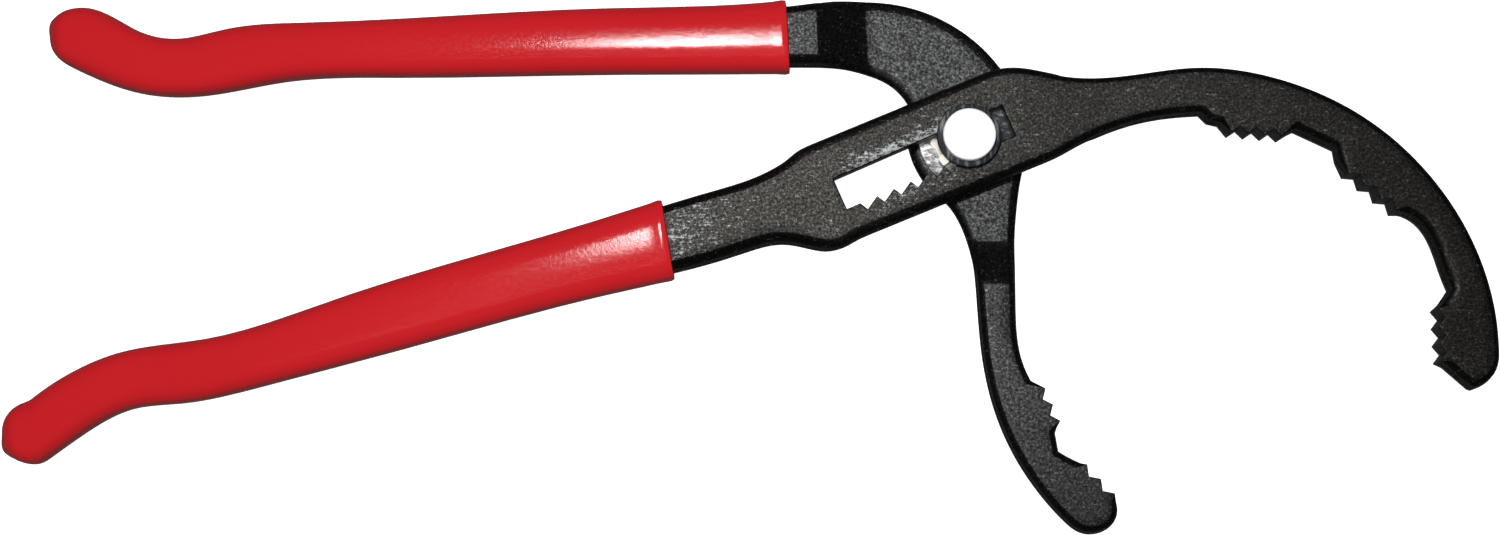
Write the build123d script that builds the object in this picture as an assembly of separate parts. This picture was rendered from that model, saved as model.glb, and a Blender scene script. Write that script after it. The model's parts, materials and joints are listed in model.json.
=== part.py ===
"""Adjustable slip-joint oil filter pliers, 16 inch class.

Two forged arms cross at a bolted pivot. The slotted arm carries the large curved jaw and a slot with
a toothed rack; the hub arm carries the small jaw and turns on the pivot behind it. A hardened key in
the slot drops into the rack and sets where the pivot stands. Both handles are dipped in vinyl.

Frame: +X from the handles to the jaws, +Y towards the hub arm's handle, +Z out of the front face.
The origin is on the pivot axis, on the plane of the nut's underside, on which the tool lies.
Units: millimetres.
"""
import os
from math import atan2, cos, degrees, hypot, radians, sin
from build123d import *

# ---- forgings ----
forging_thickness = 9.0
handle_length = 255.0       # pivot to the last points of the handles' sides
drawn_handle_length = 255.0    # the length that the outlines below are given for
handle_root = 101.0         # the handles are drawn out between these distances from the pivot
handle_bend = 200.0
running_gap = 0.05          # between faces that slide on each other
face_relief = 1.0           # hub arm's face round the bearing pad stands back this far
pad_radius = 13.3
hub_radius = 16.4
handle_ramp_run = 13.8      # length of the slope between full and half thickness
jaw_ramp_run = 12.5
rear_ramp_run = 8.0
handle_ramp_edge = (-41.2, 29.0)
handle_ramp_heading = 2.0   # degrees, downhill direction of the slope in the upper handle
jaw_ramp_edge = (5.0, -40.6)
jaw_ramp_heading = 90.0

# ---- pivot hardware, 5/16 inch series ----
shank_diameter = 7.94
pivot_fit = 0.05            # radial, shank in the hub arm's bore
head_diameter = 14.3
head_height = 2.0
head_round = 0.6
washer_diameter = 17.5
washer_bore_play = 0.76     # across the bore, shank in the washers
washer_thickness = 1.65
nut_across_flats = 12.7
nut_height = 6.75

# ---- slot and rack, along the slot's own axes ----
slot_angle = 23.6           # degrees, slot axis above +X
slot_side_gap = 0.2         # shank to the slot's plain edge
slot_handle_end = -38.5
slot_jaw_end = 11.8
rack_pitch = 5.0
positions_to_handle = 5     # whole pitches from the drawn position
positions_to_jaw = 1
tooth_depth = 2.3
tooth_peak_drop = 4.9       # pivot axis down to the line of the tooth tips
valley_lead = 1.2           # from a tip to the valley on its jaw side
first_valley_ahead = 8.3    # pivot axis to the valley that holds the key
lap_margin = 2.2
lap_reach_to_handle = 1.08    # of the hub's radius, where its outline runs past it
lap_reach_to_jaw = 1.32
lap_half_width = 40.0       # wider than the arms where they cross
ramp_half_width = 24.0      # the hub arm's ramps reach across its neck and handle
ramp_zone_outside = 40.0    # lap of the hub arm, beyond the edge lines of its ramps
neck_zone_inside = 30.0

# ---- locking key, pressed into the bearing pad ----
key_lobe_radius = 1.2
key_nose_radius = 1.4
key_neck_width = 1.1
key_tip_radius = 0.15
key_seat_depth = 1.5
key_top_gap = 0.6           # raised nose below the slotted arm's front face
key_lobe_place = (9.0, -18.0)    # distance from the pivot axis, degrees below the slot axis
key_nose_place = (9.05, 19.0)
key_tip_place = (10.35, 25.0)

# ---- grips ----
vinyl_wall = 1.6
grip_round = 4.5
sleeve_spans = 16           # curve points along each side of a grip
slotted_grip_mouth = ((-83.5, -12.0), (-79.0, -42.0))
hub_grip_mouth = ((-49.0, 44.0), (-47.4, 14.0))

# ---- jaw teeth ----
jaw_tooth_depth = 1.9

# ---- levels above the resting plane ----
back_level = nut_height + washer_thickness + running_gap
middle_level = back_level + forging_thickness / 2
front_level = back_level + forging_thickness
lap_level = middle_level + running_gap
head_washer_level = front_level + running_gap
head_level = head_washer_level + washer_thickness

slot_half_width = shank_diameter / 2 + slot_side_gap
arm_reach = 400.0           # longer than the tool, for cutting tools
cut_margin = 1.0            # cutting tools run past the faces they cut through


def on_slot(along, across):
    """Point at these distances along and across the slot axis, from the pivot."""
    turn = radians(slot_angle)
    return (along * cos(turn) - across * sin(turn), along * sin(turn) + across * cos(turn))


def from_pivot(place):
    """Point on the handle side of the pivot, from its distance and degrees below the slot axis."""
    distance, below = place
    return on_slot(-distance * cos(radians(below)), -distance * sin(radians(below)))


def prism(edges, bottom, top):
    """Upright solid between two levels whose outline is a closed chain of edges."""
    face = make_face(edges)
    return extrude(Pos(0, 0, bottom) * face, amount=top - bottom, dir=(0, 0, 1))


def polygon_prism(points, bottom, top):
    """Upright solid between two levels over a polygon."""
    return prism(Polyline(*points, close=True).edges(), bottom, top)


def cylinder(radius, bottom, top):
    """Upright cylinder on the pivot axis between two levels."""
    return Pos(0, 0, (bottom + top) / 2) * Cylinder(radius, top - bottom)


def jaw_teeth(first_tip, last_tip, count, metal_side):
    """Points of a row of V teeth: tips in line, valleys set into the metal on one side."""
    first = Vector(*first_tip)
    step = (Vector(*last_tip) - first) / (count - 1)
    inward = Vector(-step.Y, step.X).normalized() * jaw_tooth_depth * metal_side
    points = [first]
    for index in range(1, count):
        points.append(first + step * (index - 0.5) + inward)
        points.append(first + step * index)
    return [(point.X, point.Y) for point in points]


def handle(points):
    """Handle outline points at the handles' real length, with their bent ends moved whole."""
    extra = handle_length - drawn_handle_length
    shares = [min(max((-x - handle_root) / (handle_bend - handle_root), 0.0), 1.0) for x, _ in points]
    return [(x - extra * share, y) for (x, y), share in zip(points, shares)]


# ---- outlines of the bare forgings, in the drawn pose ----
slotted_handle_top = handle([(-255.0, -73.0), (-243.5, -65.0), (-231.0, -59.8), (-209.0, -56.4),
                             (-172.0, -45.2), (-101.0, -23.7), (-72.1, -14.7), (-59.7, -10.9),
                             (-46.2, -2.9)])
slotted_block_top = [(-46.2, -2.9), (5.8, 18.6)]
slotted_jaw_back = [(5.8, 18.6), (12.0, 19.8), (26.1, 17.4), (43.0, 17.4), (63.0, 19.7),
                    (84.1, 16.7), (108.3, 5.4), (126.3, -12.0), (137.6, -32.8), (141.9, -58.4)]
slotted_jaw_tip = [(141.9, -58.4), (140.3, -65.6), (133.9, -69.5)]
slotted_pad_at_tip = jaw_teeth((125.4, -61.8), (125.2, -47.6), 4, -1)
slotted_inner_corner = [(129.1, -42.1), (126.2, -33.1), (121.3, -23.7), (118.1, -21.8)]
slotted_pad_in_middle = jaw_teeth((115.0, -21.0), (102.6, -10.6), 4, -1)
slotted_inner_step = [(100.1, -6.8), (99.6, -3.5), (89.1, 1.6)]
slotted_pad_at_root = jaw_teeth((85.0, -0.4), (71.4, 0.9), 4, -1)
slotted_inner_land = [(68.5, 3.4), (65.5, 4.1), (63.4, 6.3)]
slotted_neck_inner = [(63.4, 6.3), (57.9, 6.0), (48.8, 4.7), (38.0, 1.4), (24.3, -5.6)]
slotted_block_bottom = [(24.3, -5.6), (-30.8, -28.2)]
slotted_handle_bottom = handle([(-30.8, -28.2), (-38.5, -31.2), (-50.0, -29.0), (-62.5, -31.8),
                                (-100.9, -41.5), (-155.4, -56.1), (-193.6, -66.2), (-215.4, -70.7),
                                (-227.9, -72.0), (-243.2, -79.9), (-253.0, -87.1)])
slotted_handle_end = handle([(-253.0, -87.1), (-261.0, -82.5), (-255.0, -73.0)])

hub_handle_top = handle([(-250.0, 35.8), (-244.4, 36.6), (-231.0, 30.3), (-218.0, 27.6), (-205.0, 30.3),
                         (-183.0, 32.0), (-101.0, 35.6), (-50.0, 37.6), (-28.7, 39.6), (-16.4, 38.2),
                         (-1.3, 31.3), (10.0, 19.8)])
hub_behind_block = [(10.0, 19.8), (16.4, 6.0), (15.9, -4.5), (14.3, -12.0)]
hub_neck_inner = [(14.3, -12.0), (12.7, -26.0), (12.4, -44.6), (13.8, -61.0), (16.1, -66.4)]
hub_pad_at_neck = jaw_teeth((19.7, -68.9), (23.5, -77.6), 3, -1)
hub_inner_land = [(22.4, -80.7), (23.2, -85.6), (26.3, -87.5)]
hub_pad_at_tip = jaw_teeth((30.4, -89.3), (37.6, -97.0), 3, -1)
hub_jaw_tip = [(37.6, -97.0), (36.9, -105.8), (31.5, -108.0), (26.1, -106.1)]
hub_jaw_back = [(26.1, -106.1), (16.2, -94.8), (7.7, -79.1), (3.3, -62.1), (1.9, -45.9),
                (0.3, -30.7), (-5.7, -17.4)]
hub_round = [(-5.7, -17.4), (-13.2, -9.8), (-16.3, -1.8), (-16.0, 10.0)]
hub_handle_inner = handle([(-16.0, 10.0), (-21.3, 16.0), (-34.1, 20.0), (-48.7, 20.5), (-101.5, 20.5),
                           (-157.0, 20.0), (-190.0, 18.8), (-212.0, 15.0), (-229.1, 15.8),
                           (-243.7, 21.0), (-249.2, 23.7)])
hub_handle_end = handle([(-249.2, 23.7), (-253.1, 29.6), (-250.0, 35.8)])


def slotted_outline():
    """Closed outline of the slotted arm: smooth stretches are curves, teeth are straight."""
    tip_lands = slotted_jaw_tip[-1:] + slotted_pad_at_tip + slotted_inner_corner[:1]
    middle_lands = (slotted_inner_corner[-1:] + slotted_pad_in_middle + slotted_inner_step
                    + slotted_pad_at_root + slotted_inner_land)
    return (Spline(*slotted_handle_top).edges() + Polyline(*slotted_block_top).edges()
            + Spline(*slotted_jaw_back).edges() + Spline(*slotted_jaw_tip).edges()
            + Polyline(*tip_lands).edges() + Spline(*slotted_inner_corner).edges()
            + Polyline(*middle_lands).edges() + Spline(*slotted_neck_inner).edges()
            + Polyline(*slotted_block_bottom).edges() + Spline(*slotted_handle_bottom).edges()
            + ThreePointArc(*slotted_handle_end).edges())


def hub_outline():
    """Closed outline of the hub arm."""
    inner_run = hub_neck_inner[-1:] + hub_pad_at_neck + hub_inner_land + hub_pad_at_tip
    return (Spline(*hub_handle_top).edges() + Spline(*hub_behind_block).edges()
            + Spline(*hub_neck_inner).edges() + Polyline(*inner_run).edges()
            + Spline(*hub_jaw_tip).edges() + Spline(*hub_jaw_back).edges()
            + Spline(*hub_round).edges() + Spline(*hub_handle_inner).edges()
            + ThreePointArc(*hub_handle_end).edges())


def slope(edge_middle, direction, run, from_level, to_level, half_width):
    """Wedge left standing below a ramp: full height on its edge line, none at its foot."""
    profile = Polyline((0, from_level), (0, to_level), (run, from_level), close=True)
    plane = Plane(origin=(*edge_middle, 0), x_dir=(cos(radians(direction)), sin(radians(direction)), 0),
                  z_dir=(sin(radians(direction)), -cos(radians(direction)), 0))
    return extrude(plane * make_face(profile.edges()), amount=half_width, both=True)


def lap_of_slotted_arm():
    """Space behind the slotted arm that the hub takes at every position and angle."""
    travel_to_handle = positions_to_handle * rack_pitch
    travel_to_jaw = positions_to_jaw * rack_pitch
    low_foot = -travel_to_handle - hub_radius * lap_reach_to_handle - lap_margin - rear_ramp_run
    high_foot = travel_to_jaw + hub_radius * lap_reach_to_jaw + lap_margin + rear_ramp_run
    corners = [on_slot(low_foot, -lap_half_width), on_slot(high_foot, -lap_half_width),
               on_slot(high_foot, lap_half_width), on_slot(low_foot, lap_half_width)]
    below = back_level - cut_margin
    space = polygon_prism(corners, below, lap_level)
    for foot, heading in ((low_foot, slot_angle), (high_foot, slot_angle + 180)):
        space -= slope(on_slot(foot, 0), heading, rear_ramp_run, lap_level, below, lap_half_width)
    return space


def slot_with_rack():
    """Cutting tool for the slot: plain upper edge, toothed lower edge."""
    valleys = [-first_valley_ahead + rack_pitch * step
               for step in range(-positions_to_handle, positions_to_jaw + 1)]
    lower = [(slot_handle_end, -tooth_peak_drop)]
    for valley in valleys:
        lower.append((valley - valley_lead, -tooth_peak_drop))
        lower.append((valley, -tooth_peak_drop - tooth_depth))
    lower.append((valleys[-1] + rack_pitch - valley_lead, -tooth_peak_drop))
    lower.append((slot_jaw_end, -tooth_peak_drop))
    outline = lower + [(slot_jaw_end, slot_half_width), (slot_handle_end, slot_half_width)]
    return polygon_prism([on_slot(*point) for point in outline],
                         back_level - cut_margin, front_level + cut_margin)


def lap_of_hub_arm():
    """Space in front of the hub arm's joint, down to the relieved face, with a slope at each end."""
    floor = middle_level - face_relief
    along_ramp = radians(handle_ramp_heading)
    edge_x, edge_y = handle_ramp_edge
    across = (-sin(along_ramp), cos(along_ramp))
    outer = (edge_x + ramp_zone_outside * across[0], edge_y + ramp_zone_outside * across[1])
    inner = (edge_x - ramp_half_width * across[0], edge_y - ramp_half_width * across[1])
    jaw_x, jaw_y = jaw_ramp_edge
    zone = [outer, inner, (jaw_x - neck_zone_inside, jaw_y), (jaw_x + ramp_zone_outside, jaw_y),
            (jaw_x + ramp_zone_outside, outer[1])]
    space = polygon_prism(zone, floor, front_level + cut_margin)
    space -= slope(handle_ramp_edge, handle_ramp_heading, handle_ramp_run, floor, front_level,
                   ramp_half_width)
    return space - slope(jaw_ramp_edge, jaw_ramp_heading, jaw_ramp_run, floor, front_level,
                         ramp_half_width)


def key_outlines():
    """Outline of the raised nose with its point, and of the lobe and neck beside it."""
    lobe_x, lobe_y = from_pivot(key_lobe_place)
    nose_x, nose_y = from_pivot(key_nose_place)
    tip_x, tip_y = from_pivot(key_tip_place)
    nose = make_hull([Pos(nose_x, nose_y) * Circle(key_nose_radius).edge(),
                      Pos(tip_x, tip_y) * Circle(key_tip_radius).edge()])
    neck_angle = degrees(atan2(nose_y - lobe_y, nose_x - lobe_x))
    neck_length = hypot(nose_x - lobe_x, nose_y - lobe_y)
    middle = Pos((lobe_x + nose_x) / 2, (lobe_y + nose_y) / 2) * Rot(0, 0, neck_angle)
    stem = Pos(lobe_x, lobe_y) * Circle(key_lobe_radius) + middle * Rectangle(neck_length, key_neck_width)
    return nose, stem


def key_blank(top_of_nose):
    """Key from the floor of its seat: stem flush with the pad, nose up to the given level."""
    nose, stem = key_outlines()
    seat = middle_level - key_seat_depth
    stem_solid = extrude(Pos(0, 0, seat) * stem, amount=key_seat_depth)
    nose_solid = extrude(Pos(0, 0, seat) * nose, amount=top_of_nose - seat)
    return stem_solid + nose_solid


def locking_key():
    """Hardened key: lobe and neck flush in the pad, nose standing up into the slot."""
    return key_blank(front_level - key_top_gap)


def slotted_arm():
    """Front forging: lower handle, slotted block, large curved jaw."""
    arm = prism(slotted_outline(), back_level, front_level)
    return arm - lap_of_slotted_arm() - slot_with_rack()


def hub_arm():
    """Rear forging: upper handle, round hub with its bearing pad, small jaw."""
    arm = prism(hub_outline(), back_level, front_level)
    arm -= lap_of_hub_arm()
    arm += cylinder(pad_radius, middle_level - face_relief, middle_level)
    arm -= cylinder(shank_diameter / 2 + pivot_fit, back_level - cut_margin, front_level)
    return arm - key_blank(middle_level + cut_margin)


def grown(curve, shares):
    """Points at these shares of a curve's length, moved out of the handle by the vinyl's wall."""
    points = []
    for share in shares:
        place, along = curve.position_at(share), curve.tangent_at(share)
        points.append((place.X - along.Y * vinyl_wall, place.Y + along.X * vinyl_wall))
    return points


def sleeve(lower_run, end_run, upper_run, mouth):
    """Dipped vinyl sleeve: the handle's outline grown by the wall, rounded, cut off at its mouth."""
    shares = [index / sleeve_spans for index in range(sleeve_spans)]
    round_the_end = (grown(Spline(*lower_run), shares) + grown(ThreePointArc(*end_run), [0.1, 0.5, 0.9])
                     + grown(Spline(*upper_run), [1 - share for share in reversed(shares)]))
    outline = Spline(*round_the_end).edges() + Line(round_the_end[-1], round_the_end[0]).edges()
    handle = (Spline(*lower_run).edges() + ThreePointArc(*end_run).edges()
              + Spline(*upper_run).edges() + Line(upper_run[-1], lower_run[0]).edges())
    bottom = back_level - vinyl_wall
    body = prism(outline, bottom, front_level + vinyl_wall)
    (top_x, top_y), (low_x, low_y) = mouth
    beyond = [(top_x, top_y), (low_x, low_y), (low_x + arm_reach, low_y - arm_reach),
              (top_x + arm_reach, top_y + arm_reach)]
    body -= polygon_prism(beyond, bottom - cut_margin, front_level + vinyl_wall + cut_margin)
    mouth_end = min(top_x, low_x) - grip_round / 2
    rims = [edge for edge in body.edges()
            if abs(edge.tangent_at(0.5).Z) < 0.01 and edge.center().X < mouth_end]
    return fillet(rims, grip_round) - prism(handle, back_level, front_level)


def pivot_bolt():
    """Shank with a low round head, its lower end flush with the nut."""
    head = Pos(0, 0, head_level + head_height / 2) * Cylinder(head_diameter / 2, head_height)
    head = fillet(head.edges().sort_by(Axis.Z)[-1], head_round)
    return head + cylinder(shank_diameter / 2, 0.0, head_level)


def washer(level):
    """Flat washer lying on a level."""
    disc = cylinder(washer_diameter / 2, level, level + washer_thickness)
    bore_radius = (shank_diameter + washer_bore_play) / 2
    return disc - cylinder(bore_radius, level - cut_margin, level + washer_thickness + cut_margin)


def pivot_nut():
    """Plain hexagon nut on the shank's lower end."""
    nut = extrude(RegularPolygon(nut_across_flats / 2, 6, major_radius=False), amount=nut_height)
    return nut - cylinder(shank_diameter / 2, -cut_margin, nut_height + cut_margin)


def main():
    """Build every node and write its STEP file."""
    nodes = {
        "slotted_arm": slotted_arm(),
        "hub_arm": hub_arm(),
        "pivot_bolt": pivot_bolt(),
        "head_washer": washer(head_washer_level),
        "back_washer": washer(nut_height),
        "pivot_nut": pivot_nut(),
        "locking_key": locking_key(),
        "upper_grip": sleeve(hub_handle_inner, hub_handle_end, hub_handle_top, hub_grip_mouth),
        "lower_grip": sleeve(slotted_handle_bottom, slotted_handle_end, slotted_handle_top,
                             slotted_grip_mouth),
    }
    os.makedirs("parts", exist_ok=True)
    for name, shape in nodes.items():
        export_step(shape, f"parts/{name}.step")


main()
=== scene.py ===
import json
from math import cos, pi, radians, sin

import bmesh
import bpy
import numpy as np
from bpy.props import FloatProperty, FloatVectorProperty, IntProperty, PointerProperty
from mathutils import Matrix, Vector
from mathutils.geometry import delaunay_2d_cdt


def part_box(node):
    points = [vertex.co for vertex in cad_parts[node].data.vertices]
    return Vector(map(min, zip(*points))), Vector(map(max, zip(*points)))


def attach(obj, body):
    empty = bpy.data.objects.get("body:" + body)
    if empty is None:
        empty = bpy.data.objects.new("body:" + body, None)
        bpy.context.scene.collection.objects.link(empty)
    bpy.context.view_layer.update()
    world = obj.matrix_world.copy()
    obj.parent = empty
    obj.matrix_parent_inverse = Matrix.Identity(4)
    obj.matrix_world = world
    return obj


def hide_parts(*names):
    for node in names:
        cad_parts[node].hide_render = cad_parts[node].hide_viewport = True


bl_info = {
    "name": "Oil filter pliers",
    "version": (1, 0, 0),
    "blender": (4, 5, 0),
    "location": "View3D > Sidebar > Pliers",
    "description": "Forged slip-joint oil filter pliers with dipped vinyl grips",
    "category": "Mesh",
}

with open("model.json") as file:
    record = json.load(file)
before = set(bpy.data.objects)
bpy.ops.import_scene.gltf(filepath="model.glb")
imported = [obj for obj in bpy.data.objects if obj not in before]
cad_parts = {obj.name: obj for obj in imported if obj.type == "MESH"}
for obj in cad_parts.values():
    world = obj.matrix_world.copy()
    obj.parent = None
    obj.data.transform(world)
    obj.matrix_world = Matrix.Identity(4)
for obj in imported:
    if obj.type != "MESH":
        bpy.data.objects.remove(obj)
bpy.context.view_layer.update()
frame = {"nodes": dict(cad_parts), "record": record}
MM = 0.001

WELD = 1e-6                 # corners of a CAD mesh closer than this are one point
LEVEL_STEP = 1e-5           # heights closer than this are one level
LEVEL_FACING = 0.999        # upright share of a level face's normal
DOUBLINGS = 20              # pointer doublings, enough for loops of a million points


# ---------------------------------------------------------------- what the frame says

def node_arrays(node):
    """Vertex places and triangle corners of a CAD node, as arrays."""
    mesh = frame["nodes"][node].data
    places = np.zeros(len(mesh.vertices) * 3)
    mesh.vertices.foreach_get("co", places)
    mesh.calc_loop_triangles()
    corners = np.zeros(len(mesh.loop_triangles) * 3, int)
    mesh.loop_triangles.foreach_get("vertices", corners)
    places = places.reshape(-1, 3)
    _, first, same = np.unique(np.round(places / WELD).astype(int), axis=0,
                               return_index=True, return_inverse=True)
    return places[first], same.reshape(-1)[corners].reshape(-1, 3)


def triangle_facts(places, corners):
    """Unit normal, area and middle of each triangle: half the cross product of two sides."""
    a, b, c = (places[corners[:, k]] for k in range(3))
    cross = np.cross(b - a, c - a)
    length = np.maximum(np.linalg.norm(cross, axis=1), 1e-15)
    return cross / length[:, None], length / 2, (a + b + c) / 3


def widest_level(node, low, high):
    """Height strictly between low and high that carries the most level area of a node."""
    places, corners = node_arrays(node)
    normal, area, middle = triangle_facts(places, corners)
    level = np.round(middle[:, 2] / LEVEL_STEP).astype(int)
    between = (middle[:, 2] > low + LEVEL_STEP) & (middle[:, 2] < high - LEVEL_STEP)
    use = between & (np.abs(normal[:, 2]) > LEVEL_FACING)
    heights, index = np.unique(level[use], return_inverse=True)
    return heights[np.bincount(index.reshape(-1), area[use]).argmax()] * LEVEL_STEP


def face_loops(node, level):
    """Closed outlines of a node's level face at a height, outer one first and counter-clockwise.

    Boundary edges of the face's triangles each point to the next; the order round a loop is its
    rank in that list, found by pointer doubling.
    """
    places, corners = node_arrays(node)
    normal, _, middle = triangle_facts(places, corners)
    flat = (np.abs(normal[:, 2]) > LEVEL_FACING) & (np.abs(middle[:, 2] - level) < LEVEL_STEP)
    triangles = corners[flat]
    edges = np.concatenate([triangles[:, [0, 1]], triangles[:, [1, 2]], triangles[:, [2, 0]]])
    forward = edges[:, 0] * len(places) + edges[:, 1]
    backward = edges[:, 1] * len(places) + edges[:, 0]
    rim = edges[~np.isin(forward, backward)]
    following = np.arange(len(places))
    following[rim[:, 0]] = rim[:, 1]
    label = np.arange(len(places))
    jump = following.copy()
    for _ in range(DOUBLINGS):
        label = np.minimum(label, label[jump])
        jump = jump[jump]
    loops = []
    for start in np.unique(label[rim[:, 0]]):
        members = np.unique(rim[label[rim[:, 0]] == start, 0])
        step, jump = np.ones(len(places), int), following.copy()
        stop = members[following[members] == start][0]
        step[stop], jump[stop] = 0, stop
        for _ in range(DOUBLINGS):
            step, jump = step + step[jump], jump[jump]
        loops.append(places[members[np.argsort(-step[members])]][:, :2])
    loops.sort(key=lambda loop: -abs(turned_area(loop)))
    signs = [1] + [-1] * (len(loops) - 1)
    return [loop if turned_area(loop) * sign > 0 else loop[::-1] for loop, sign in zip(loops, signs)]


def turned_area(loop):
    """Signed area inside a loop, positive when it runs counter-clockwise (shoelace sum)."""
    x, y = loop[:, 0], loop[:, 1]
    return 0.5 * np.sum(x * np.roll(y, -1) - np.roll(x, -1) * y)


def slope_plane(node, chosen, flattest=0.995, steepest=0.2):
    """Plane of a node's slanted faces whose middles are chosen: returns its height over (x, y).

    Slanted faces are those whose normal's upright share lies between steepest and flattest.
    """
    places, corners = node_arrays(node)
    normal, area, middle = triangle_facts(places, corners)
    upright = np.abs(normal[:, 2])
    slanted = (upright > steepest) & (upright < flattest) & chosen(middle)
    weight = area[slanted][:, None]
    point = (middle[slanted] * weight).sum(0) / weight.sum()
    facing = (normal[slanted] * weight).sum(0)
    return lambda x, y: point[2] - (facing[0] * (x - point[0]) + facing[1] * (y - point[1])) / facing[2]


def crease_points(plane, levels, centre, reach=26 * MM, beside=0.12 * MM, step=1.2 * MM):
    """Points in plan along the straight creases where a slope meets level faces.

    The plane is a + bx + cy, so its crease at a level runs across (b, c); two rows are laid, one
    on each side of the crease, so that the slope and the level face each stay flat up to it.
    """
    rise = np.array([plane(1.0, 0.0), plane(0.0, 1.0)]) - plane(0.0, 0.0)
    steep = np.linalg.norm(rise)
    up, along = rise / steep, np.array([-rise[1], rise[0]]) / steep
    run = np.arange(-reach, reach, step)[:, None] * along
    rows = []
    for level in levels:
        foot = centre + up * (level - plane(*centre)) / steep
        rows += [foot + run + up * beside, foot + run - up * beside]
    return np.vstack(rows)


# ---------------------------------------------------------------- outlines

def turn_angles(loop):
    """Angle by which a loop turns at each point, in radians."""
    before = loop - np.roll(loop, 1, 0)
    after = np.roll(loop, -1, 0) - loop
    cross = before[:, 0] * after[:, 1] - before[:, 1] * after[:, 0]
    return np.arctan2(cross, (before * after).sum(1))


def smooth_loop(loop, spacing, corner=radians(24), clear=1.3 * MM, longest_edge=6.0 * MM,
                passes=6, fewest=8):
    """Loop with evenly spaced points on its round stretches; corners and straight teeth stay.

    Each stretch between two corners is resampled by arc length and eased by passes of a moving
    average over three points weighted 1, 2, 1. Points closer to a corner than clear are left out, so
    that an inset there can't cross itself.
    """
    sharp = np.flatnonzero(np.abs(turn_angles(loop)) > corner)
    if len(sharp) < 2:
        sharp = np.array([0])
    loop = np.roll(loop, -sharp[0], 0)
    sharp = np.append(sharp - sharp[0], len(loop))
    closed = np.vstack([loop, loop[:1]])
    out = []
    for first, last in zip(sharp[:-1], sharp[1:]):
        run = closed[first:last + 1]
        far = np.concatenate([[0], np.cumsum(np.linalg.norm(np.diff(run, axis=0), axis=1))])
        if far[-1] < longest_edge:
            out.append(run[:-1])
            continue
        count = max(int(far[-1] / spacing), fewest)
        even = np.linspace(0, far[-1], count + 1)
        dense = np.stack([np.interp(even, far, run[:, k]) for k in (0, 1)], 1)
        for _ in range(passes):
            dense[1:-1] = 0.25 * dense[:-2] + 0.5 * dense[1:-1] + 0.25 * dense[2:]
        keep = (even > clear) & (even < far[-1] - clear)
        keep[0] = True
        out.append(dense[keep])
    return np.vstack(out)


def forged_share(loop, sharp=radians(40), reach=5.5 * MM, beside=0.3 * MM, fade=2.0 * MM):
    """1 where an outline is as forged and 0 along its cut teeth, where three corners are close.

    The share rises evenly over the length fade, from a place beside the last corner of a row.
    """
    corner = loop[np.abs(turn_angles(loop)) > sharp]
    if len(corner) < 3:
        return np.ones(len(loop))
    apart = np.hypot(corner[:, :1] - corner[:, 0], corner[:, 1:] - corner[:, 1])
    teeth = corner[(apart < reach).sum(1) > 2]
    gap = np.hypot(loop[:, :1] - teeth[:, 0], loop[:, 1:] - teeth[:, 1]).min(1)
    return np.clip((gap - beside) / fade, 0, 1)


def mitres(loop, least_cosine=0.55):
    """Outward direction at each point, lengthened so that an offset keeps its true distance.

    The length is one over the cosine of half the turn, and that cosine is kept above a least one.
    """
    edge = np.roll(loop, -1, 0) - loop
    edge /= np.maximum(np.linalg.norm(edge, axis=1), 1e-12)[:, None]
    out = np.stack([edge[:, 1], -edge[:, 0]], 1)
    both = out + np.roll(out, 1, 0)
    both /= np.maximum(np.linalg.norm(both, axis=1), 1e-9)[:, None]
    return both / np.clip((both * out).sum(1), least_cosine, 1)[:, None]


def inside(points, loops):
    """True for points inside the first loop and outside the others (even-odd crossing count)."""
    count = np.zeros(len(points), int)
    for loop in loops:
        a, b = loop, np.roll(loop, -1, 0)
        spans = (a[:, 1][None] > points[:, 1][:, None]) != (b[:, 1][None] > points[:, 1][:, None])
        rise = np.where(a[:, 1] == b[:, 1], 1e-12, b[:, 1] - a[:, 1])
        cross = a[:, 0] + (points[:, 1][:, None] - a[:, 1]) * (b[:, 0] - a[:, 0]) / rise
        count += (spans & (points[:, 0][:, None] < cross)).sum(1)
    return count % 2 == 1


# ---------------------------------------------------------------- surfaces

SEAM = 2e-6                 # points of a surface closer than this are welded
CUT_RIM = 0.2 * MM          # rim left along cut teeth
RIM_DEPTH = 0.85            # of the rim's width
RIM_DEEPEST = 0.27          # of the forging's thickness
CREASE = radians(32)        # slope at which a rim leaves its face
CREASE_ROUND = radians(3)   # turn of the first narrow strip beside the crease
RIM_ROWS = 6
WALL_SETBACK = 1.6          # of the rib's depth, where the rims meet the wall
RIB_ROWS = ((1.05, 0.75), (0.25, 0.45), (0.0, 0.2), (0.0, -0.2), (0.25, -0.45), (1.05, -0.75))
RIB_MARGIN = 0.6            # how much of the rims' painted shade and lower roughness the rib shows
RIB_MARK = 0.35             # how much of the rims' finish the rib shows
NO_RIB = (0.0, 0.0)         # how proud and how tall, for cut edges
ON_LEVEL = 0.02 * MM        # a point this close to a level is on it


def make_piece(name, places, faces, body, slot, nodes, material, sharp=30, **marks):
    """Mesh object from arrays, riding on a body and standing for nodes of the CAD.

    Edges that turn by more than sharp degrees stay sharp. marks are values per vertex, by name.
    """
    mesh = bpy.data.meshes.new(name)
    mesh.from_pydata(places.tolist(), [], [list(face) for face in faces])
    for mark, values in marks.items():
        mesh.attributes.new(mark, "FLOAT", "POINT").data.foreach_set("value", np.asarray(values, float))
    piece = bpy.data.objects.new(name, mesh)
    bpy.context.scene.collection.objects.link(piece)
    work = bmesh.new()
    work.from_mesh(mesh)
    bmesh.ops.remove_doubles(work, verts=work.verts, dist=SEAM)
    bmesh.ops.recalc_face_normals(work, faces=work.faces)
    work.to_mesh(mesh)
    work.free()
    mesh.shade_smooth()
    mesh.set_sharp_from_angle(angle=radians(sharp))
    mesh.materials.append(material)
    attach(piece, body)
    if nodes:
        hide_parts(*nodes)
    return piece


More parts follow.
